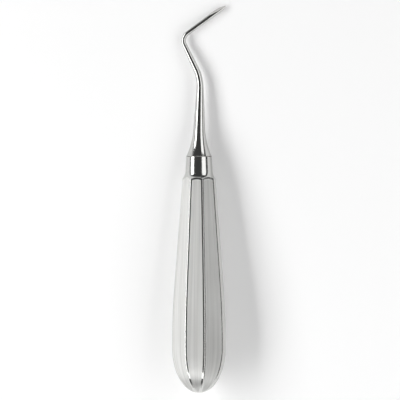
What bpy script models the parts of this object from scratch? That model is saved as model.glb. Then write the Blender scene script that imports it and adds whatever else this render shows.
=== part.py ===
"""Root tip elevator with a hollow eight-sided handle, lying as it comes to rest.

The instrument is two pieces of stainless steel. The handle is a thin shell of
pear shape with eight flats and a turned collar. The blade, the twice-bent
shank and a spigot are one forging, and the spigot is silver-brazed into the
collar. Both are drawn along the handle's axis, +Y from the butt to the blade,
with the bends in the plane z = 0. An empty then tips that axis until the
handle's lowest flat lies on the floor.
"""

from math import atan, cos, pi, radians, sin, sqrt

import bmesh
import bpy
from mathutils import Matrix, Vector

MM = 0.001

# Handle: stations are distances from the butt along the axis
HANDLE_LENGTH = 97.0 * MM
BUTT_LENGTH = 18.5 * MM
SWELL_LENGTH = 25.8 * MM
BELLY_ACROSS_FLATS = 21.24 * MM
NECK_ACROSS_FLATS = 12.66 * MM
DIAGONAL_SHARE = 0.977
EDGE_RADIUS = 0.35 * MM
EDGE_SHARE_AT_POLE = 0.25
WALL = 1.0 * MM

# Collar: turned on the end of the handle, with a flared shoulder
COLLAR_LENGTH = 6.4 * MM
COLLAR_END_DIAMETER = 10.46 * MM
COLLAR_ROOT_DIAMETER = 11.28 * MM
SHOULDER_RADIUS = 4.1 * MM
SHOULDER_ANGLE = radians(41.0)
JOINT_CHAMFER = 0.12 * MM

# Brazed joint: the bore in the collar and the spigot that fills it
BORE_DIAMETER = 8.4 * MM
BORE_LENGTH = 9.5 * MM
THROAT_LENGTH = 3.0 * MM
SPIGOT_LENGTH = 9.0 * MM
SPIGOT_CHAMFER = 0.4 * MM
BRAZE_GAP = 0.05 * MM

# Shank: straight runs and bends, with the diameter at the end of each
TRUMPET_LENGTH = 11.3 * MM
TRUMPET_LEAN = radians(1.2)
TRUMPET_END_DIAMETER = 4.84 * MM
FIRST_RUN = 16.6 * MM
FIRST_RUN_END_DIAMETER = 2.96 * MM
FIRST_BEND_RADIUS = 17.8 * MM
FIRST_BEND_ANGLE = radians(27.1)
SECOND_RUN = 10.6 * MM
SECOND_RUN_END_DIAMETER = 2.06 * MM
SECOND_BEND_RADIUS = 4.0 * MM
SECOND_BEND_ANGLE = radians(80.2)
SECOND_BEND_END_DIAMETER = 1.88 * MM

# Blade: a round rod with one slanted flat, closing to a point
BLADE_LENGTH = 19.5 * MM
BLADE_DIAMETER = 2.14 * MM
NOSE_LENGTH = 3.6 * MM
NOSE_SKEW = 0.45 * MM
TIP_RADIUS = 0.06 * MM
FACE_LENGTH = 8.2 * MM
FACE_DROP = 0.05 * MM
FACE_TURN = radians(55.0)

# Fineness of the curved surfaces
EDGE_STEPS = 2
BUTT_STEPS = 9
SWELL_STEPS = 6
TURNED_SIDES = 64
SHOULDER_STEPS = 8
ROD_SIDES = 32
NOSE_STEPS = 8
SHARP_ANGLE = radians(20.0)

# Tools that shape the pieces reach this far past them
CUTTER_MARGIN = 1.0 * MM
TURNING_RADIUS_SHARE = 0.75
CAVITY_MOUTH_SHARE = 0.8
FACE_CUTTER_SHARE = 1.5


def flat_distance(station, wall=0.0):
    """Distance from the axis to a main flat, or to its inner face behind a wall."""
    belly = BELLY_ACROSS_FLATS / 2
    taper_start = BUTT_LENGTH + SWELL_LENGTH
    taper_length = HANDLE_LENGTH - COLLAR_LENGTH - taper_start
    slope = (belly - NECK_ACROSS_FLATS / 2) / (taper_length + SWELL_LENGTH / 2)
    if station < BUTT_LENGTH:
        reach = (BUTT_LENGTH - station) / (BUTT_LENGTH - wall)
        return (belly - wall) * sqrt(max(0.0, 1 - reach * reach))
    if station < taper_start:
        return belly - wall - slope * (station - BUTT_LENGTH) ** 2 / (2 * SWELL_LENGTH)
    return belly - wall - slope * (SWELL_LENGTH / 2 + station - taper_start)


def flats_ring(station, flat):
    """Section of eight flats with rounded edges, the diagonal flats a little nearer."""
    edge = min(EDGE_RADIUS, EDGE_SHARE_AT_POLE * flat)
    near = flat - edge
    far = sqrt(2) * (DIAGONAL_SHARE * flat - edge) - near
    ring = []
    for quarter in range(4):
        for first_angle, centre in ((0, (near, far)), (45, (far, near))):
            for step in range(EDGE_STEPS + 1):
                angle = radians(first_angle + 45 * step / EDGE_STEPS)
                x = centre[0] + edge * cos(angle)
                z = centre[1] + edge * sin(angle)
                ring.append(Matrix.Rotation(-quarter * pi / 2, 3, "Y") @ Vector((x, station, z)))
    return ring


def swelling_stations(wall=0.0):
    """Stations from just past the butt's pole to the start of the straight taper."""
    stations = []
    for step in range(1, BUTT_STEPS + 1):
        stations.append(wall + (BUTT_LENGTH - wall) * (1 - cos(step * pi / 2 / BUTT_STEPS)))
    for step in range(1, SWELL_STEPS + 1):
        stations.append(BUTT_LENGTH + SWELL_LENGTH * step / SWELL_STEPS)
    return stations


def loft_mesh(name, rings):
    """Closed skin over rings with equal point counts, a single point closing to a pole."""
    shape = bmesh.new()
    loops = [[shape.verts.new(point) for point in ring] for ring in rings]
    for lower, upper in zip(loops, loops[1:]):
        count = max(len(lower), len(upper))
        for index in range(count):
            after = (index + 1) % count
            if len(lower) == 1:
                shape.faces.new((lower[0], upper[after], upper[index]))
            elif len(upper) == 1:
                shape.faces.new((lower[index], lower[after], upper[0]))
            else:
                shape.faces.new((lower[index], lower[after], upper[after], upper[index]))
    for end in (loops[0], loops[-1]):
        if len(end) > 1:
            shape.faces.new(end)
    bmesh.ops.recalc_face_normals(shape, faces=shape.faces)
    mesh = bpy.data.meshes.new(name)
    shape.to_mesh(mesh)
    shape.free()
    return mesh


def turned_mesh(name, profile, sides):
    """Body turned about the axis from (radius, station) points."""
    rings = []
    for radius, station in profile:
        ring = []
        for side in range(sides):
            angle = 2 * pi * side / sides
            ring.append(Vector((radius * cos(angle), station, radius * sin(angle))))
        rings.append(ring)
    return loft_mesh(name, rings)


def steel(name, colour, roughness):
    """Bare stainless steel with the given colour and polish."""
    material = bpy.data.materials.new(name)
    material.use_nodes = True
    shader = material.node_tree.nodes["Principled BSDF"]
    shader.inputs["Base Color"].default_value = (*colour, 1.0)
    shader.inputs["Metallic"].default_value = 1.0
    shader.inputs["Roughness"].default_value = roughness
    return material


def place(name, mesh, axis, material):
    """A finished piece, smooth between its edges and carried by the axis."""
    mesh.shade_smooth()
    mesh.set_sharp_from_angle(angle=SHARP_ANGLE)
    mesh.materials.append(material)
    piece = bpy.data.objects.new(name, mesh)
    piece.parent = axis
    bpy.context.scene.collection.objects.link(piece)
    return piece


def cut(piece, name, mesh, operation="DIFFERENCE"):
    """Shape a piece with a hidden tool body."""
    tool = bpy.data.objects.new(name, mesh)
    tool.parent = piece.parent
    tool.hide_render = True
    tool.display_type = "WIRE"
    bpy.context.scene.collection.objects.link(tool)
    shaping = piece.modifiers.new(name, "BOOLEAN")
    shaping.operation = operation
    shaping.solver = "EXACT"
    shaping.object = tool


def rest_axis():
    """Empty that lays the lowest flat on z = 0, with the flat's middle at the origin."""
    flat_start = BUTT_LENGTH + SWELL_LENGTH
    flat_end = HANDLE_LENGTH - COLLAR_LENGTH
    fall = flat_distance(flat_start) - flat_distance(flat_end)
    tilt = atan(fall / (flat_end - flat_start))
    middle = (flat_start + flat_end) / 2
    turn = Matrix.Rotation(-tilt, 4, "X")
    axis = bpy.data.objects.new("handle_axis", None)
    axis.rotation_euler = (-tilt, 0, 0)
    axis.location = -(turn @ Vector((0, middle, -flat_distance(middle))))
    bpy.context.scene.collection.objects.link(axis)
    return axis


def collar_profile():
    """Turned outline of the collar and shoulder, then out past every flat of the handle."""
    end = COLLAR_END_DIAMETER / 2
    root = COLLAR_ROOT_DIAMETER / 2
    root_station = HANDLE_LENGTH - COLLAR_LENGTH
    start_angle = atan((root - end) / COLLAR_LENGTH)
    clear_radius = TURNING_RADIUS_SHARE * BELLY_ACROSS_FLATS
    profile = [(end - JOINT_CHAMFER, HANDLE_LENGTH), (end, HANDLE_LENGTH - JOINT_CHAMFER)]
    for step in range(SHOULDER_STEPS + 1):
        angle = start_angle + (SHOULDER_ANGLE - start_angle) * step / SHOULDER_STEPS
        station = root_station - SHOULDER_RADIUS * (sin(angle) - sin(start_angle))
        radius = root + SHOULDER_RADIUS * (cos(start_angle) - cos(angle))
        profile.append((radius, station))
    rise = clear_radius - radius
    profile.append((clear_radius, station - rise * cos(SHOULDER_ANGLE) / sin(SHOULDER_ANGLE)))
    profile.append((clear_radius, -CUTTER_MARGIN))
    return profile


def make_handle(axis):
    """Hollow shell with eight flats, a turned collar and the bore for the spigot."""
    stations = swelling_stations() + [HANDLE_LENGTH + CUTTER_MARGIN]
    rings = [[Vector((0, 0, 0))]]
    rings += [flats_ring(station, flat_distance(station)) for station in stations]
    satin = steel("satin_stainless_steel", (0.72, 0.72, 0.71), 0.34)
    handle = place("handle", loft_mesh("handle", rings), axis, satin)
    cut(handle, "collar_turning", turned_mesh("collar_turning", collar_profile(), TURNED_SIDES),
        "INTERSECT")

    bore_radius = BORE_DIAMETER / 2
    bore_start = HANDLE_LENGTH - BORE_LENGTH
    throat_start = bore_start - THROAT_LENGTH
    stations = swelling_stations(WALL) + [throat_start]
    rings = [[Vector((0, WALL, 0))]]
    rings += [flats_ring(station, flat_distance(station, WALL)) for station in stations]
    rings.append(flats_ring(bore_start, CAVITY_MOUTH_SHARE * bore_radius))
    cut(handle, "cavity", loft_mesh("cavity", rings))
    bore = [(bore_radius, throat_start), (bore_radius, HANDLE_LENGTH + CUTTER_MARGIN)]
    cut(handle, "bore", turned_mesh("bore", bore, ROD_SIDES))
    return handle


def shank_route():
    """Pieces of the shank's centre line: length, turn to the right, steps, end diameter."""
    return (
        (TRUMPET_LENGTH, TRUMPET_LEAN, 9, TRUMPET_END_DIAMETER),
        (FIRST_RUN, 0.0, 3, FIRST_RUN_END_DIAMETER),
        (FIRST_BEND_RADIUS * FIRST_BEND_ANGLE, -FIRST_BEND_ANGLE, 7, None),
        (SECOND_RUN, 0.0, 2, SECOND_RUN_END_DIAMETER),
        (SECOND_BEND_RADIUS * SECOND_BEND_ANGLE, SECOND_BEND_ANGLE, 12, SECOND_BEND_END_DIAMETER),
        (BLADE_LENGTH - NOSE_LENGTH, 0.0, 4, BLADE_DIAMETER),
    )


def shank_radius(travel):
    """Rod radius at a distance along the centre line, up to the start of the nose."""
    marks = [(TRUMPET_LENGTH, TRUMPET_END_DIAMETER / 2)]
    reached = 0.0
    for length, _, _, diameter in shank_route():
        reached += length
        if diameter and reached > TRUMPET_LENGTH:
            marks.append((reached, diameter / 2))
    if travel < TRUMPET_LENGTH:
        (start, thick), (end, thin) = marks[0], marks[1]
        taper = thick + (thick - thin) / (end - start) * (TRUMPET_LENGTH - travel)
        root_taper = thick + (thick - thin) / (end - start) * TRUMPET_LENGTH
        flare = COLLAR_END_DIAMETER / 2 - root_taper
        return taper + flare * (1 - travel / TRUMPET_LENGTH) ** 2
    for (start, thick), (end, thin) in zip(marks, marks[1:]):
        if travel <= end:
            return thick + (thin - thick) * (travel - start) / (end - start)
    return marks[-1][1]


def rod_ring(centre, heading, radius):
    """Round section square to a centre line that heads to the right of +Y."""
    outward = Vector((-cos(heading), sin(heading), 0))
    ring = []
    for side in range(ROD_SIDES):
        angle = 2 * pi * side / ROD_SIDES
        ring.append(centre + radius * (cos(angle) * outward + sin(angle) * Vector((0, 0, 1))))
    return ring


def make_shank_and_blade(axis):
    """Forging with the spigot, the trumpet, both bends and the ground blade."""
    foot = HANDLE_LENGTH + BRAZE_GAP
    spigot_radius = BORE_DIAMETER / 2 - BRAZE_GAP
    spigot_end = HANDLE_LENGTH - SPIGOT_LENGTH
    spigot = (
        (spigot_end, spigot_radius - SPIGOT_CHAMFER),
        (spigot_end + SPIGOT_CHAMFER, spigot_radius),
        (foot, spigot_radius),
        (foot, COLLAR_END_DIAMETER / 2 - JOINT_CHAMFER),
    )
    rings = [rod_ring(Vector((0, station, 0)), 0.0, radius) for station, radius in spigot]
    rings.append(rod_ring(Vector((0, foot + JOINT_CHAMFER, 0)), 0.0, shank_radius(JOINT_CHAMFER)))

    centre = Vector((0, foot, 0))
    heading = 0.0
    travel = 0.0
    for length, turn, steps, _ in shank_route():
        for _ in range(steps):
            middle = heading + turn / steps / 2
            centre = centre + length / steps * Vector((sin(middle), cos(middle), 0))
            heading += turn / steps
            travel += length / steps
            rings.append(rod_ring(centre, heading, shank_radius(travel)))

    ahead = Vector((sin(heading), cos(heading), 0))
    outward = Vector((-cos(heading), sin(heading), 0))
    face_normal = sin(FACE_TURN) * outward + cos(FACE_TURN) * Vector((0, 0, 1))
    near_edge = sin(FACE_TURN) * Vector((0, 0, 1)) - cos(FACE_TURN) * outward
    tip = centre + NOSE_LENGTH * ahead
    face_rise = shank_radius(travel + NOSE_LENGTH - FACE_LENGTH) + FACE_DROP

    blade_radius = BLADE_DIAMETER / 2
    nose_face = face_rise * NOSE_LENGTH / FACE_LENGTH - FACE_DROP
    ogive = (NOSE_LENGTH ** 2 + blade_radius ** 2) / (2 * blade_radius)
    for step in range(1, NOSE_STEPS + 1):
        along = NOSE_LENGTH * sin(step * pi / 2 / NOSE_STEPS)
        radius = sqrt(ogive ** 2 - along ** 2) - ogive + blade_radius
        radius = max(radius, TIP_RADIUS)
        left = NOSE_LENGTH - along
        face = face_rise * left / FACE_LENGTH - FACE_DROP
        drop = face - nose_face * radius / blade_radius
        skew = NOSE_SKEW * (along / NOSE_LENGTH) ** 2
        rings.append(rod_ring(centre + along * ahead + drop * face_normal + skew * near_edge,
                              heading, radius))
    rings.append([rings[-1][0].lerp(rings[-1][ROD_SIDES // 2], 0.5) + TIP_RADIUS / 2 * ahead])

    polish = steel("polished_stainless_steel", (0.78, 0.78, 0.77), 0.14)
    shank = place("shank_and_blade", loft_mesh("shank_and_blade", rings), axis, polish)

    slant = atan(face_rise / FACE_LENGTH)
    back = face_normal * sin(slant) - ahead * cos(slant)
    up = face_normal * cos(slant) + ahead * sin(slant)
    start = tip - FACE_DROP * face_normal - CUTTER_MARGIN * back
    width = FACE_CUTTER_SHARE * BLADE_DIAMETER
    reach = FACE_LENGTH + 2 * CUTTER_MARGIN
    corners = []
    for distance in (0.0, reach):
        ring = []
        for side, height in ((-1, 0), (1, 0), (1, 1), (-1, 1)):
            ring.append(start + distance * back + side * width * near_edge + height * width * up)
        corners.append(ring)
    cut(shank, "blade_face", loft_mesh("blade_face", corners))
    return shank


for leftover in list(bpy.data.objects):
    bpy.data.objects.remove(leftover)

carrier = rest_axis()
make_handle(carrier)
make_shank_and_blade(carrier)
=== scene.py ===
"""Looks of a root tip elevator that lies on a pale table: handle, shank and blade, braze."""

from math import atan, cos, pi, radians, sin, sqrt, tan

import bpy
from mathutils import Matrix, Vector


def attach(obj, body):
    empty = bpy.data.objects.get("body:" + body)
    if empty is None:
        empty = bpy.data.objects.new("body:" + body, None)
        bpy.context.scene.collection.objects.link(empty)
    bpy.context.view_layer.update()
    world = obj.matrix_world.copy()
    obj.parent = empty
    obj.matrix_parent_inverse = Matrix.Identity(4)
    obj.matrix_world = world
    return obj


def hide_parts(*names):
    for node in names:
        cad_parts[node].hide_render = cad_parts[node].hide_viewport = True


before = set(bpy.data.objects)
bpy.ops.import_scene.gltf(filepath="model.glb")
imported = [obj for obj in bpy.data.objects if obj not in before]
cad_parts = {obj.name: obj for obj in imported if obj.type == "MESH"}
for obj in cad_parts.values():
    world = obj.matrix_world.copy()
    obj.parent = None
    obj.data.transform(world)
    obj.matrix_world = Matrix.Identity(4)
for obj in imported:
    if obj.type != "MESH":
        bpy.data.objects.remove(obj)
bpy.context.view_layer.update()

MM = 0.001


# Handle
# A thin stainless steel shell, welded up and ground until no seam shows. Its eight flats
# are brushed lengthwise and left satin, their edges are buffed, and the collar at its end
# is turned, polished and bored for the shank.
HANDLE_LENGTH = 97.0 * MM
BUTT_LENGTH = 18.5 * MM
SWELL_LENGTH = 25.8 * MM
BELLY_ACROSS_FLATS = 21.24 * MM
NECK_ACROSS_FLATS = 12.66 * MM
DIAGONAL_SHARE = 0.977
BELLY_EDGE_RADIUS = 0.45 * MM
WALL = 1.0 * MM
COLLAR_LENGTH = 6.4 * MM
COLLAR_END_DIAMETER = 10.46 * MM
COLLAR_ROOT_DIAMETER = 11.28 * MM
SHOULDER_RADIUS = 4.1 * MM
SHOULDER_ANGLE = radians(41.0)
JOINT_CHAMFER = 0.12 * MM
BORE_DIAMETER = 8.4 * MM
BORE_LENGTH = 9.5 * MM
THROAT_LENGTH = 3.0 * MM
CAVITY_MOUTH_SHARE = 0.4
TURNING_REACH_SHARE = 0.75

TAPER_START = BUTT_LENGTH + SWELL_LENGTH
COLLAR_START = HANDLE_LENGTH - COLLAR_LENGTH
TAPER_SLOPE = ((BELLY_ACROSS_FLATS - NECK_ACROSS_FLATS) / 2
               / (COLLAR_START - TAPER_START + SWELL_LENGTH / 2))
OVERSHOOT = 1.0 * MM
MERGE_DISTANCE = 0.0001 * MM
BUTT_STEPS = 28
SWELL_STEPS = 14
SHOULDER_STEPS = 16
EDGE_SEGMENTS = 6
TURNED_SIDES = 160
SMOOTH_ANGLE = radians(20)


def flat_distance(station, wall=0.0):
    """Distance from the axis to a main flat, or to its inner face behind a wall."""
    belly = BELLY_ACROSS_FLATS / 2 - wall
    if station < BUTT_LENGTH:
        reach = (BUTT_LENGTH - station) / (BUTT_LENGTH - wall)
        return belly * sqrt(max(0.0, 1 - reach * reach))
    if station < TAPER_START:
        return belly - TAPER_SLOPE * (station - BUTT_LENGTH) ** 2 / (2 * SWELL_LENGTH)
    return belly - TAPER_SLOPE * (SWELL_LENGTH / 2 + station - TAPER_START)


def edit(select="SELECT"):
    """Open the active piece for shaping, with all of it picked or none."""
    bpy.ops.object.mode_set(mode="EDIT")
    bpy.ops.mesh.select_all(action=select)


def done():
    """Close the active piece."""
    bpy.ops.object.mode_set(mode="OBJECT")


def draw_through(rings):
    """Draw the picked end face through (station, size) pairs, the first being where it is."""
    for (start, size), (station, next_size) in zip(rings, rings[1:]):
        ratio = next_size / size
        bpy.ops.mesh.extrude_region_move(TRANSFORM_OT_translate={"value": (0, station - start, 0)})
        bpy.ops.transform.resize(value=(ratio, 1, ratio), center_override=(0, station, 0))


def start_flats(name, station, flat):
    """A square at a station, bevelled into eight flats with rounded edges."""
    bpy.ops.object.select_all(action="DESELECT")
    bpy.ops.mesh.primitive_plane_add(size=2 * flat, location=(0, station, 0),
                                     rotation=(radians(90), 0, 0))
    bpy.context.object.name = name
    bpy.ops.object.transform_apply(location=True, rotation=True, scale=True)
    edit()
    bpy.ops.mesh.bevel(offset=flat * (2 - sqrt(2) * DIAGONAL_SHARE), affect="VERTICES")
    edge = BELLY_EDGE_RADIUS * flat / (BELLY_ACROSS_FLATS / 2)
    bpy.ops.mesh.bevel(offset=edge * tan(radians(22.5)), affect="VERTICES",
                       segments=EDGE_SEGMENTS)


def start_round(name, station, radius, sides):
    """A disc across the axis at a station."""
    bpy.ops.object.select_all(action="DESELECT")
    bpy.ops.mesh.primitive_circle_add(vertices=sides, radius=radius, fill_type="NGON",
                                      location=(0, station, 0), rotation=(radians(90), 0, 0))
    bpy.context.object.name = name
    bpy.ops.object.transform_apply(location=True, rotation=True, scale=True)
    edit()


def close_to_pole(start, pole):
    """Draw the picked end face from its station to a point on the axis."""
    bpy.ops.mesh.extrude_region_move(TRANSFORM_OT_translate={"value": (0, pole - start, 0)})
    bpy.ops.mesh.merge(type="CENTER")


def face_outward():
    """Merge doubles and turn every face of a closed body outwards."""
    bpy.ops.mesh.select_all(action="SELECT")
    bpy.ops.mesh.remove_doubles(threshold=MERGE_DISTANCE)
    bpy.ops.mesh.normals_make_consistent(inside=False)
    done()
    return bpy.context.object


def stations_to_pole(start, wall=0.0):
    """Stations from a start back to just short of the butt's pole, with the flats' distance."""
    stations = [start]
    for step in range(SWELL_STEPS, 0, -1):
        stations.append(BUTT_LENGTH + SWELL_LENGTH * step / SWELL_STEPS)
    for step in range(BUTT_STEPS, 0, -1):
        stations.append(wall + (BUTT_LENGTH - wall) * (1 - cos(step * pi / 2 / BUTT_STEPS)))
    return [(station, flat_distance(station, wall)) for station in stations]


def finish(name):
    """A named finish whose nodes are still to be made."""
    material = bpy.data.materials.new(name)
    material.use_nodes = True
    material.node_tree.nodes.clear()
    return material


def shape_with(piece, tool, operation):
    """Cut a piece with a closed tool body, whose finish the cut takes, and remove the tool."""
    bpy.ops.object.select_all(action="DESELECT")
    bpy.context.view_layer.objects.active = piece
    piece.select_set(True)
    cut = piece.modifiers.new("cut", "BOOLEAN")
    cut.operation = operation
    cut.solver = "EXACT"
    cut.material_mode = "TRANSFER"
    cut.object = tool
    bpy.ops.object.modifier_apply(modifier="cut")
    bpy.data.objects.remove(tool)


# The flats, drawn from past the collar back to the pole of the butt
outside = stations_to_pole(HANDLE_LENGTH + OVERSHOOT)
start_flats("handle_shell", *outside[0])
draw_through(outside)
close_to_pole(outside[-1][0], 0.0)
handle = face_outward()
satin = finish("satin_brushed_stainless_steel")
handle.data.materials.append(satin)

# The collar and its flared shoulder, turned: the tool is what is left on the lathe
collar_end = COLLAR_END_DIAMETER / 2
collar_root = COLLAR_ROOT_DIAMETER / 2
root_angle = atan((collar_root - collar_end) / COLLAR_LENGTH)
turned = [(HANDLE_LENGTH, collar_end - JOINT_CHAMFER), (HANDLE_LENGTH - JOINT_CHAMFER, collar_end)]
for step in range(SHOULDER_STEPS + 1):
    angle = root_angle + (SHOULDER_ANGLE - root_angle) * step / SHOULDER_STEPS
    shoulder_station = COLLAR_START - SHOULDER_RADIUS * (sin(angle) - sin(root_angle))
    shoulder_radius = collar_root + SHOULDER_RADIUS * (cos(root_angle) - cos(angle))
    turned.append((shoulder_station, shoulder_radius))
clear_radius = TURNING_REACH_SHARE * BELLY_ACROSS_FLATS
clear_station = shoulder_station - (clear_radius - shoulder_radius) / tan(SHOULDER_ANGLE)
turned.append((clear_station, clear_radius))
turned.append((-OVERSHOOT, clear_radius))
start_round("turning", *turned[0], TURNED_SIDES)
draw_through(turned)
turning = face_outward()
turned_polish = finish("turned_and_polished_stainless_steel")
turning.data.materials.append(turned_polish)
shape_with(handle, turning, "INTERSECT")

# The hollow inside the shell, and the bore that takes the spigot
bore_start = HANDLE_LENGTH - BORE_LENGTH
throat_start = bore_start - THROAT_LENGTH
inside = [(bore_start, CAVITY_MOUTH_SHARE * BORE_DIAMETER)]
inside += stations_to_pole(throat_start, WALL)
start_flats("cavity", *inside[0])
draw_through(inside)
close_to_pole(inside[-1][0], WALL)
shape_with(handle, face_outward(), "DIFFERENCE")
bore = [(HANDLE_LENGTH + OVERSHOOT, BORE_DIAMETER / 2), (throat_start, BORE_DIAMETER / 2)]
start_round("bore", *bore[0], TURNED_SIDES)
draw_through(bore)
shape_with(handle, face_outward(), "DIFFERENCE")

# The handle lies on its lowest flat, whose middle is the origin
TILT = atan(TAPER_SLOPE)
FLAT_MIDDLE = (TAPER_START + COLLAR_START) / 2
LAID_DOWN = Matrix.Rotation(-TILT, 4, "X")
LAID_DOWN.translation = -(LAID_DOWN @ Vector((0, FLAT_MIDDLE, -flat_distance(FLAT_MIDDLE))))


def lay_down(piece, name):
    """Smooth a finished piece between its edges and tip it, mesh and all, on to its flat."""
    bpy.ops.object.select_all(action="DESELECT")
    bpy.context.view_layer.objects.active = piece
    piece.select_set(True)
    piece.name = name
    piece.data.name = name
    piece.matrix_world = LAID_DOWN
    bpy.ops.object.transform_apply(location=True, rotation=True, scale=True)
    bpy.ops.object.shade_smooth_by_angle(angle=SMOOTH_ANGLE)
    smoothing = piece.modifiers.new("flats_stay_flat", "WEIGHTED_NORMAL")
    smoothing.keep_sharp = True
    bpy.ops.object.modifier_apply(modifier="flats_stay_flat")


lay_down(handle, "handle_shell")


def linear(hex_colour):
    """An sRGB hex colour as the linear RGBA that a shader takes."""
    channels = [int(hex_colour[start:start + 2], 16) / 255 for start in (1, 3, 5)]
    bent = [c / 12.92 if c <= 0.04045 else ((c + 0.055) / 1.055) ** 2.4 for c in channels]
    return (*bent, 1.0)


def node(tree, kind, inputs=None, **settings):
    """Add a node with its settings, feed its inputs with values or links, give its outputs."""
    made = tree.nodes.new(kind)
    for name, value in settings.items():
        setattr(made, name, value)
    for slot, value in (inputs or {}).items():
        if isinstance(value, bpy.types.NodeSocket):
            tree.links.new(value, made.inputs[slot])
        else:
            made.inputs[slot].default_value = value
    return made.outputs


# Satin stainless steel, brushed lengthwise on a 180-grit belt, which the eye sees as
# soft streaks along each flat and light spread across them. Buffing has polished the
# edges, so they show as crisp dark and bright lines.
GRAIN_WIDTH = 0.45 * MM
GRAIN_RUN = 30.0 * MM
GRAIN_ROUGHNESS = 0.10
BELT_PASS = 18.0 * MM
BELT_PASS_ROUGHNESS = (0.46, 0.54)
BUFFED_WIDTH = 0.46 * MM
BUFFED_FADE = 0.40 * MM
BUFFED_ROUGHNESS = 0.14
# Noise seldom leaves this middle part of its range, which is spread over the whole
NOISE_LOW = 0.3
NOISE_HIGH = 0.7
tree = satin.node_tree
place = node(tree, "ShaderNodeTexCoord")["Object"]
axis_place = node(tree, "ShaderNodeMapping", {
    "Vector": place, "Location": LAID_DOWN.translation, "Rotation": (-TILT, 0, 0)},
    vector_type="TEXTURE")[0]
# Distance to the nearest long edge, in a section folded to one quarter
folded = node(tree, "ShaderNodeVectorMath", {0: axis_place}, operation="ABSOLUTE")[0]
across, along, height = node(tree, "ShaderNodeSeparateXYZ", {0: folded})
farther = node(tree, "ShaderNodeMath", {0: across, 1: height}, operation="MAXIMUM")[0]
nearer = node(tree, "ShaderNodeMath", {0: across, 1: height}, operation="MINIMUM")[0]
corner = atan(sqrt(2) * DIAGONAL_SHARE - 1)
sunk = node(tree, "ShaderNodeMath", {0: farther, 1: -sin(corner)}, operation="MULTIPLY")[0]
off_corner = node(tree, "ShaderNodeMath", {0: nearer, 1: cos(corner), 2: sunk},
                  operation="MULTIPLY_ADD")[0]
edge_distance = node(tree, "ShaderNodeMath", {0: off_corner}, operation="ABSOLUTE")[0]
# Distance to the cone of the turned shoulder, which reaches the flats in eight arches
section = node(tree, "ShaderNodeVectorMath", {0: axis_place, 1: (1, 0, 1)},
               operation="MULTIPLY")[0]
off_axis = node(tree, "ShaderNodeVectorMath", {0: section}, operation="LENGTH")["Value"]
cone_slope = tan(SHOULDER_ANGLE)
cone_radius = node(tree, "ShaderNodeMath", {
    0: along, 1: -cone_slope, 2: shoulder_radius + shoulder_station * cone_slope},
    operation="MULTIPLY_ADD")[0]
cone_distance = node(tree, "ShaderNodeMath", {0: cone_radius, 1: off_axis},
                     operation="SUBTRACT")[0]
nearest = node(tree, "ShaderNodeMath", {0: edge_distance, 1: cone_distance},
               operation="MINIMUM")[0]
satin_share = node(tree, "ShaderNodeMapRange", {
    "Value": nearest, "From Min": BUFFED_WIDTH, "From Max": BUFFED_WIDTH + BUFFED_FADE},
    interpolation_type="SMOOTHSTEP")[0]
# Grain: fine streaks along the handle that close in on its pole, and broad ones where a
# pass of the belt bore harder
around = node(tree, "ShaderNodeVectorMath", {0: section}, operation="NORMALIZE")[0]
streaks = node(tree, "ShaderNodeVectorMath", {
    0: axis_place, 1: (0, GRAIN_WIDTH / GRAIN_RUN, 0)}, operation="MULTIPLY")[0]
streaks = node(tree, "ShaderNodeVectorMath", {
    0: around, 1: (BELLY_ACROSS_FLATS / 2,) * 3, 2: streaks}, operation="MULTIPLY_ADD")[0]
noise = node(tree, "ShaderNodeTexNoise", {
    "Vector": streaks, "Scale": 0.5 / GRAIN_WIDTH, "Detail": 3.0})["Fac"]
grain = node(tree, "ShaderNodeMapRange", {
    "Value": noise, "From Min": NOISE_LOW, "From Max": NOISE_HIGH})[0]
passes = node(tree, "ShaderNodeTexNoise", {
    "Vector": axis_place, "Scale": 1 / BELT_PASS, "Detail": 2.0})["Fac"]
pass_rough = node(tree, "ShaderNodeMapRange", {
    "Value": passes, "From Min": NOISE_LOW, "From Max": NOISE_HIGH,
    "To Min": BELT_PASS_ROUGHNESS[0], "To Max": BELT_PASS_ROUGHNESS[1]})[0]
satin_rough = node(tree, "ShaderNodeMath", {0: grain, 1: GRAIN_ROUGHNESS, 2: pass_rough},
                   operation="MULTIPLY_ADD")[0]
rough = node(tree, "ShaderNodeMapRange", {
    "Value": satin_share, "To Min": BUFFED_ROUGHNESS, "To Max": satin_rough})[0]
tone = node(tree, "ShaderNodeMix", {0: grain, 6: linear("#CACAC8"), 7: linear("#E0E0DE")},
            data_type="RGBA")[2]
bump = node(tree, "ShaderNodeBump", {"Height": grain, "Strength": 0.25, "Distance": 0.01 * MM})[0]
flat_normal = node(tree, "ShaderNodeNewGeometry")["Normal"]
across_grain = node(tree, "ShaderNodeVectorMath", {0: LAID_DOWN.col[1].xyz, 1: flat_normal},
                    operation="CROSS_PRODUCT")[0]
shader = node(tree, "ShaderNodeBsdfPrincipled", {
    "Base Color": tone, "Metallic": 1.0, "Roughness": rough, "Normal": bump,
    "Anisotropic": 0.85, "Tangent": across_grain})
node(tree, "ShaderNodeOutputMaterial", {"Surface": shader[0]})

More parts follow.
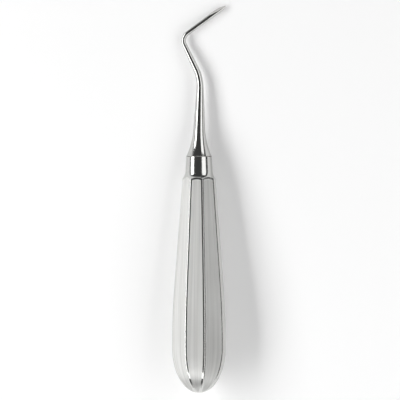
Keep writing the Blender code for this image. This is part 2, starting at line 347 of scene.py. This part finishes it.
# Turned and polished stainless steel: close to a mirror, with the last faint rings of the
# lathe, drawn coarser than real ones so that they show, that fray its reflections a little.
TURNING_PITCH = 0.25 * MM
RING_WANDER = 0.03
POLISH_ROUGHNESS = (0.10, 0.18)
tree = turned_polish.node_tree
place = node(tree, "ShaderNodeTexCoord")["Object"]
axis_place = node(tree, "ShaderNodeMapping", {
    "Vector": place, "Location": LAID_DOWN.translation, "Rotation": (-TILT, 0, 0)},
    vector_type="TEXTURE")[0]
rings = node(tree, "ShaderNodeMapping", {
    "Vector": axis_place, "Scale": (RING_WANDER, 1.0, RING_WANDER)})[0]
noise = node(tree, "ShaderNodeTexNoise", {
    "Vector": rings, "Scale": 1 / TURNING_PITCH, "Detail": 2.0})["Fac"]
rough = node(tree, "ShaderNodeMapRange", {
    "Value": noise, "From Min": NOISE_LOW, "From Max": NOISE_HIGH,
    "To Min": POLISH_ROUGHNESS[0], "To Max": POLISH_ROUGHNESS[1]})[0]
bump = node(tree, "ShaderNodeBump", {"Height": noise, "Strength": 0.15, "Distance": 0.004 * MM})[0]
shader = node(tree, "ShaderNodeBsdfPrincipled", {
    "Base Color": linear("#C6C6C4"), "Metallic": 1.0, "Roughness": rough, "Normal": bump})
node(tree, "ShaderNodeOutputMaterial", {"Surface": shader[0]})

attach(handle, "root")
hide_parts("handle")


# Shank and blade
# One forging of hardened stainless steel. Its spigot is brazed into the collar, the
# trumpet-shaped root runs down to a slim rod with two bends, and the blade at the end
# has one ground face and closes to a point. It is polished all over.
SPIGOT_LENGTH = 9.0 * MM
SPIGOT_CHAMFER = 0.4 * MM
BRAZE_GAP = 0.05 * MM
TRUMPET_LENGTH = 11.3 * MM
TRUMPET_LEAN = radians(1.2)
TRUMPET_END_DIAMETER = 4.84 * MM
FIRST_RUN = 16.6 * MM
FIRST_RUN_END_DIAMETER = 2.96 * MM
FIRST_BEND_RADIUS = 17.8 * MM
FIRST_BEND_ANGLE = radians(27.1)
SECOND_RUN = 10.6 * MM
SECOND_RUN_END_DIAMETER = 2.06 * MM
SECOND_BEND_RADIUS = 4.0 * MM
SECOND_BEND_ANGLE = radians(80.2)
SECOND_BEND_END_DIAMETER = 1.88 * MM
BLADE_LENGTH = 19.5 * MM
BLADE_DIAMETER = 2.14 * MM
NOSE_LENGTH = 3.6 * MM
NOSE_SKEW = 0.45 * MM
TIP_RADIUS = 0.06 * MM
FACE_LENGTH = 8.2 * MM
FACE_DROP = 0.05 * MM
FACE_TURN = radians(55.0)
ROD_SIDES = 96
NOSE_STEPS = 18
SAME_PLANE = 0.9999

# Runs of the centre line: length, turn to the right, steps, diameter at the end
ROUTE = (
    (TRUMPET_LENGTH, TRUMPET_LEAN, 24, TRUMPET_END_DIAMETER),
    (FIRST_RUN, 0.0, 6, FIRST_RUN_END_DIAMETER),
    (FIRST_BEND_RADIUS * FIRST_BEND_ANGLE, -FIRST_BEND_ANGLE, 16, None),
    (SECOND_RUN, 0.0, 6, SECOND_RUN_END_DIAMETER),
    (SECOND_BEND_RADIUS * SECOND_BEND_ANGLE, SECOND_BEND_ANGLE, 36, SECOND_BEND_END_DIAMETER),
    (BLADE_LENGTH - NOSE_LENGTH, 0.0, 48, BLADE_DIAMETER),
)


def shank_radius(travel):
    """Rod radius at a distance along the centre line, up to the start of the nose."""
    marks = []
    passed = 0.0
    for length, _, _, diameter in ROUTE:
        passed += length
        if diameter:
            marks.append((passed, diameter / 2))
    if travel < TRUMPET_LENGTH:
        (start, thick), (end, thin) = marks[0], marks[1]
        taper = (thick - thin) / (end - start)
        flare = COLLAR_END_DIAMETER / 2 - thick - taper * TRUMPET_LENGTH
        return thick + taper * (TRUMPET_LENGTH - travel) + flare * (1 - travel / TRUMPET_LENGTH) ** 2
    for (start, thick), (end, thin) in zip(marks, marks[1:]):
        if travel <= end:
            return thick + (thin - thick) * (travel - start) / (end - start)
    return marks[-1][1]


foot = HANDLE_LENGTH + BRAZE_GAP
spigot_radius = BORE_DIAMETER / 2 - BRAZE_GAP
spigot_end = HANDLE_LENGTH - SPIGOT_LENGTH
root_rings = [
    (spigot_end, spigot_radius - SPIGOT_CHAMFER),
    (spigot_end + SPIGOT_CHAMFER, spigot_radius),
    (foot, spigot_radius),
    (foot, COLLAR_END_DIAMETER / 2 - JOINT_CHAMFER),
    (foot + JOINT_CHAMFER, shank_radius(JOINT_CHAMFER)),
]
start_round("forged_shank", *root_rings[0], ROD_SIDES)
draw_through(root_rings)

heading = 0.0
run_end = 0.0
travel = JOINT_CHAMFER
centre = Vector((0, foot + JOINT_CHAMFER, 0))
for length, turn, steps, _ in ROUTE:
    run_end += length
    step_length = (run_end - travel) / steps
    for _ in range(steps):
        ratio = shank_radius(travel + step_length) / shank_radius(travel)
        if turn:
            bend = abs(length / turn)
            side = 1 if turn > 0 else -1
            turning_point = centre + side * bend * Vector((cos(heading), -sin(heading), 0))
            step_turn = step_length / bend
            bpy.ops.mesh.spin(steps=1, angle=side * step_turn, center=turning_point,
                              axis=(0, 0, 1))
            centre = turning_point + Matrix.Rotation(-side * step_turn, 3, "Z") @ (
                centre - turning_point)
            heading += side * step_turn
        else:
            stride = step_length * Vector((sin(heading), cos(heading), 0))
            bpy.ops.mesh.extrude_region_move(TRANSFORM_OT_translate={"value": stride})
            centre = centre + stride
        bpy.ops.transform.resize(value=(ratio, ratio, ratio), center_override=centre)
        travel += step_length

# The nose: an ogive that leans to the ground face and to its near edge
ahead = Vector((sin(heading), cos(heading), 0))
outward = Vector((-cos(heading), sin(heading), 0))
upward = Vector((0, 0, 1))
face_normal = sin(FACE_TURN) * outward + cos(FACE_TURN) * upward
near_edge = sin(FACE_TURN) * upward - cos(FACE_TURN) * outward
face_rise = shank_radius(travel + NOSE_LENGTH - FACE_LENGTH) + FACE_DROP
blade_radius = BLADE_DIAMETER / 2
ogive = (NOSE_LENGTH ** 2 + blade_radius ** 2) / (2 * blade_radius)
nose_face = face_rise * NOSE_LENGTH / FACE_LENGTH - FACE_DROP
nose_start = centre.copy()
tip = nose_start + NOSE_LENGTH * ahead
ring_radius = blade_radius
for step in range(1, NOSE_STEPS + 1):
    forward = NOSE_LENGTH * sin(step * pi / 2 / NOSE_STEPS)
    next_radius = max(sqrt(ogive ** 2 - forward ** 2) - ogive + blade_radius, TIP_RADIUS)
    drop = face_rise * (NOSE_LENGTH - forward) / FACE_LENGTH - FACE_DROP
    drop -= nose_face * next_radius / blade_radius
    skew = NOSE_SKEW * (forward / NOSE_LENGTH) ** 2
    next_centre = nose_start + forward * ahead + drop * face_normal + skew * near_edge
    bpy.ops.mesh.extrude_region_move(TRANSFORM_OT_translate={"value": next_centre - centre})
    ratio = next_radius / ring_radius
    bpy.ops.transform.resize(value=(ratio, ratio, ratio), center_override=next_centre)
    centre = next_centre
    ring_radius = next_radius
bpy.ops.mesh.extrude_region_move(TRANSFORM_OT_translate={"value": TIP_RADIUS / 2 * ahead})
bpy.ops.mesh.merge(type="CENTER")
shank = face_outward()

# The ground face: a slanted cut through the blade, closed with a flat
slant = atan(face_rise / FACE_LENGTH)
ground_up = face_normal * cos(slant) + ahead * sin(slant)
blade_foot = nose_start - (BLADE_LENGTH - NOSE_LENGTH) * ahead
for face in shank.data.polygons:
    face.select = (face.center - blade_foot).dot(ahead) > 0 and face.center.y > foot
bpy.context.tool_settings.mesh_select_mode = (False, False, True)
bpy.ops.object.mode_set(mode="EDIT")
bpy.ops.mesh.bisect(plane_co=tip - FACE_DROP * face_normal, plane_no=ground_up,
                    use_fill=True, clear_outer=True, threshold=MERGE_DISTANCE)
done()
for face in shank.data.polygons:
    on_blade = (face.center - blade_foot).dot(ahead) > 0
    face.select = on_blade and face.normal.dot(ground_up) > SAME_PLANE
bpy.ops.object.mode_set(mode="EDIT")
bpy.ops.mesh.region_to_loop()
bpy.ops.mesh.mark_sharp()
done()
lay_down(shank, "forged_shank")

# Polished hardened steel: close to a mirror, with the faint haze and wipe marks that a
# felt wheel leaves, so its reflections are sharp but not perfect.
POLISH_HAZE = 6.0 * MM
POLISH_MARK = 0.6 * MM
polish = finish("polished_stainless_steel")
tree = polish.node_tree
place = node(tree, "ShaderNodeTexCoord")["Object"]
haze = node(tree, "ShaderNodeTexNoise", {
    "Vector": place, "Scale": 1 / POLISH_HAZE, "Detail": 3.0})["Fac"]
marks = node(tree, "ShaderNodeTexNoise", {
    "Vector": place, "Scale": 1 / POLISH_MARK, "Detail": 2.0})["Fac"]
rough = node(tree, "ShaderNodeMapRange", {
    "Value": haze, "From Min": NOISE_LOW, "From Max": NOISE_HIGH,
    "To Min": POLISH_ROUGHNESS[0], "To Max": POLISH_ROUGHNESS[1]})[0]
bump = node(tree, "ShaderNodeBump", {"Height": marks, "Strength": 0.12, "Distance": 0.004 * MM})[0]
shader = node(tree, "ShaderNodeBsdfPrincipled", {
    "Base Color": linear("#C6C6C4"), "Metallic": 1.0, "Roughness": rough, "Normal": bump})
node(tree, "ShaderNodeOutputMaterial", {"Surface": shader[0]})
shank.data.materials.append(polish)

# Fine-ground steel on the blade's face: straight grinding lines across it, so that it is
# duller and flatter to the eye than the polished rod.
GRIND_SPACING = 0.12 * MM
GRIND_WANDER = 0.05
GRIND_ROUGHNESS = (0.24, 0.38)
GROUND_FACE_CORNERS = 8
ground = finish("fine_ground_steel")
tree = ground.node_tree
place = node(tree, "ShaderNodeTexCoord")["Object"]
along_blade = node(tree, "ShaderNodeMapping", {"Vector": place, "Rotation": (0, 0, -heading)},
                   vector_type="TEXTURE")[0]
stretched = node(tree, "ShaderNodeMapping", {
    "Vector": along_blade, "Scale": (GRIND_WANDER, 1.0, GRIND_WANDER)})[0]
lines = node(tree, "ShaderNodeTexNoise", {
    "Vector": stretched, "Scale": 1 / GRIND_SPACING, "Detail": 2.0})["Fac"]
rough = node(tree, "ShaderNodeMapRange", {
    "Value": lines, "From Min": NOISE_LOW, "From Max": NOISE_HIGH,
    "To Min": GRIND_ROUGHNESS[0], "To Max": GRIND_ROUGHNESS[1]})[0]
tone = node(tree, "ShaderNodeMix", {0: lines, 6: linear("#B0B0AE"), 7: linear("#D0D0CE")},
            data_type="RGBA")[2]
bump = node(tree, "ShaderNodeBump", {"Height": lines, "Strength": 0.2, "Distance": 0.004 * MM})[0]
shader = node(tree, "ShaderNodeBsdfPrincipled", {
    "Base Color": tone, "Metallic": 1.0, "Roughness": rough, "Normal": bump})
node(tree, "ShaderNodeOutputMaterial", {"Surface": shader[0]})
shank.data.materials.append(ground)
# The grinding lines go on the one many-cornered face that the cut left
ground_up = (LAID_DOWN.to_3x3() @ ground_up).normalized()
for face in shank.data.polygons:
    faces_up = face.normal.dot(ground_up) > SAME_PLANE
    face.material_index = int(faces_up and len(face.vertices) > GROUND_FACE_CORNERS)

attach(shank, "root")
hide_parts("shank_and_blade")


# Braze
# A thin ring of silver solder that ran into the groove between collar and shank when they
# were joined. It is left unpolished and coloured dark, partly as tarnish and partly as painted
# shade of the groove, so its hollow fillet is dull and shows as a fine dark line.
BRAZE_THICKNESS = 0.11 * MM
BRAZE_SINK = 0.10 * MM
BRAZE_HOLLOW = 0.07 * MM
BRAZE_SIDES = 24
groove_radius = COLLAR_END_DIAMETER / 2
bpy.ops.object.select_all(action="DESELECT")
bpy.ops.mesh.primitive_torus_add(
    major_radius=groove_radius - BRAZE_SINK, minor_radius=BRAZE_THICKNESS,
    major_segments=TURNED_SIDES, minor_segments=BRAZE_SIDES,
    location=(0, HANDLE_LENGTH + BRAZE_GAP / 2, 0), rotation=(radians(90), 0, 0))
bpy.ops.object.transform_apply(location=True, rotation=True, scale=True)
braze = bpy.context.object
bpy.context.tool_settings.mesh_select_mode = (True, False, False)
edit("DESELECT")
done()
for vertex in braze.data.vertices:
    vertex.select = vertex.co.xz.length > groove_radius - BRAZE_HOLLOW / 2
bpy.ops.object.mode_set(mode="EDIT")
hollowed = (groove_radius - BRAZE_HOLLOW) / groove_radius
bpy.ops.transform.resize(value=(hollowed, 1, hollowed),
                         center_override=(0, HANDLE_LENGTH + BRAZE_GAP / 2, 0))
done()
lay_down(braze, "braze_ring")

# Silver solder, dull and a little blotched, with a slight yellow cast. Its dark grey tone is
# partly tarnish and partly painted shade of the groove between collar and shank.
TARNISH_BLOTCH = 0.8 * MM
TARNISH_ROUGHNESS = (0.40, 0.60)
solder_tarnish_and_shade = finish("silver_solder_tarnish_and_painted_shade")
tree = solder_tarnish_and_shade.node_tree
place = node(tree, "ShaderNodeTexCoord")["Object"]
blotches = node(tree, "ShaderNodeTexNoise", {
    "Vector": place, "Scale": 1 / TARNISH_BLOTCH, "Detail": 3.0})["Fac"]
# Painted shade: these dark tones stand partly for tarnish and partly for the shade in the groove.
tone = node(tree, "ShaderNodeMix", {0: blotches, 6: linear("#4A4843"), 7: linear("#77736A")},
            data_type="RGBA")[2]
rough = node(tree, "ShaderNodeMapRange", {
    "Value": blotches, "To Min": TARNISH_ROUGHNESS[0], "To Max": TARNISH_ROUGHNESS[1]})[0]
shader = node(tree, "ShaderNodeBsdfPrincipled", {
    "Base Color": tone, "Metallic": 1.0, "Roughness": rough})
node(tree, "ShaderNodeOutputMaterial", {"Surface": shader[0]})
braze.data.materials.append(solder_tarnish_and_shade)

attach(braze, "root")


# Table
# A plain pale table top that runs on past every view. It shows as white paper does and
# keeps the soft shadow of the instrument.
TABLE_WIDTH = 6.0
TABLE_DROP = 0.02 * MM
TABLE_GLOW = 0.10
bpy.ops.object.select_all(action="DESELECT")
bpy.ops.mesh.primitive_plane_add(size=TABLE_WIDTH, location=(0, 0, -TABLE_DROP))
table = bpy.context.object
table.name = "table_top"
bpy.ops.object.transform_apply(location=True, rotation=True, scale=True)

paper = finish("matt_white_table")
tree = paper.node_tree
matt = node(tree, "ShaderNodeBsdfPrincipled", {
    "Base Color": linear("#F8F8F8"), "Roughness": 0.9, "Specular IOR Level": 0.0})
rays = node(tree, "ShaderNodeLightPath")
mirrored = node(tree, "ShaderNodeMath", {
    0: rays["Is Glossy Ray"], 1: rays["Is Transmission Ray"]}, operation="MAXIMUM")[0]
seen = node(tree, "ShaderNodeMath", {0: mirrored, 1: rays["Is Camera Ray"]},
            operation="MAXIMUM")[0]
lift = node(tree, "ShaderNodeMath", {0: seen, 1: TABLE_GLOW}, operation="MULTIPLY")[0]
glow = node(tree, "ShaderNodeEmission", {"Color": (1, 1, 1, 1), "Strength": lift})
both = node(tree, "ShaderNodeAddShader", {0: matt[0], 1: glow[0]})
node(tree, "ShaderNodeOutputMaterial", {"Surface": both[0]})
table.data.materials.append(paper)


# Studio light
# A key softbox at the left, a longer and weaker one at the right and a small one past the
# butt, in a dim room that is white at the left and under the table's level. The flats are
# lit from both sides, and polished rods carry a dark line along the top.
ROOM_TONE = "#484848"
WALL_TONE = "#FBFBFB"
WALL_TOP_FADE = (0.05, 0.45)
WALL_SIDE_FADE = (-0.3, 0.4)
studio = bpy.data.worlds.new("studio")
studio.use_nodes = True
studio.node_tree.nodes.clear()
bpy.context.scene.world = studio
tree = studio.node_tree
direction = node(tree, "ShaderNodeTexCoord")["Generated"]
rightward, _, rise = node(tree, "ShaderNodeSeparateXYZ", {0: direction})
above = node(tree, "ShaderNodeMapRange", {
    "Value": rise, "From Min": WALL_TOP_FADE[0], "From Max": WALL_TOP_FADE[1]},
    interpolation_type="SMOOTHSTEP")[0]
beside = node(tree, "ShaderNodeMapRange", {
    "Value": rightward, "From Min": WALL_SIDE_FADE[0], "From Max": WALL_SIDE_FADE[1]},
    interpolation_type="SMOOTHSTEP")[0]
off_wall = node(tree, "ShaderNodeMath", {0: above, 1: beside}, operation="MAXIMUM")[0]
over_table = node(tree, "ShaderNodeMath", {0: rise, 1: 0.0}, operation="GREATER_THAN")[0]
dim = node(tree, "ShaderNodeMath", {0: off_wall, 1: over_table}, operation="MULTIPLY")[0]
walls = node(tree, "ShaderNodeMix", {
    0: dim, 6: linear(WALL_TONE), 7: linear(ROOM_TONE)}, data_type="RGBA")[2]
room = node(tree, "ShaderNodeBackground", {"Color": walls})
node(tree, "ShaderNodeOutputWorld", {"Surface": room[0]})


def softbox(name, place, size, power):
    """A rectangular lamp that looks at the middle of the instrument."""
    lamp = bpy.data.lights.new(name, "AREA")
    lamp.shape = "RECTANGLE"
    lamp.size, lamp.size_y = size
    lamp.energy = power
    holder = bpy.data.objects.new(name, lamp)
    holder.location = place
    holder.rotation_euler = (-Vector(place)).to_track_quat("-Z", "Y").to_euler()
    bpy.context.scene.collection.objects.link(holder)


softbox("key_softbox", place=(-0.74, -0.05, 0.64), size=(1.5, 0.4), power=9.6)
softbox("fill_softbox", place=(0.63, -0.12, 0.52), size=(2.2, 0.55), power=6.2)
softbox("front_softbox", place=(-0.12, -0.72, 0.68), size=(1.0, 0.25), power=1.4)


# Camera
# It looks square on to the handle's axis, nine degrees round from the upper flat, with
# no perspective, as the drawing does.
PIXEL = 0.41 * MM
FRAME_PIXELS = 400
BUTT_ROW = 393.0
AXIS_COLUMN = 199.0
VIEW_ROUND = radians(9.0)
CAMERA_DISTANCE = 0.8
bpy.context.scene.view_settings.view_transform = "Standard"
lens = bpy.data.cameras.new("square_on")
lens.type = "ORTHO"
lens.ortho_scale = FRAME_PIXELS * PIXEL
camera = bpy.data.objects.new("square_on", lens)
facing = LAID_DOWN.to_3x3() @ Matrix.Rotation(VIEW_ROUND, 3, "Y")
middle = LAID_DOWN @ Vector((0, (BUTT_ROW - FRAME_PIXELS / 2) * PIXEL, 0))
middle += (FRAME_PIXELS / 2 - AXIS_COLUMN) * PIXEL * facing.col[0]
camera.location = middle + CAMERA_DISTANCE * facing.col[2]
camera.rotation_euler = facing.to_euler()
bpy.context.scene.collection.objects.link(camera)
bpy.context.scene.camera = camera
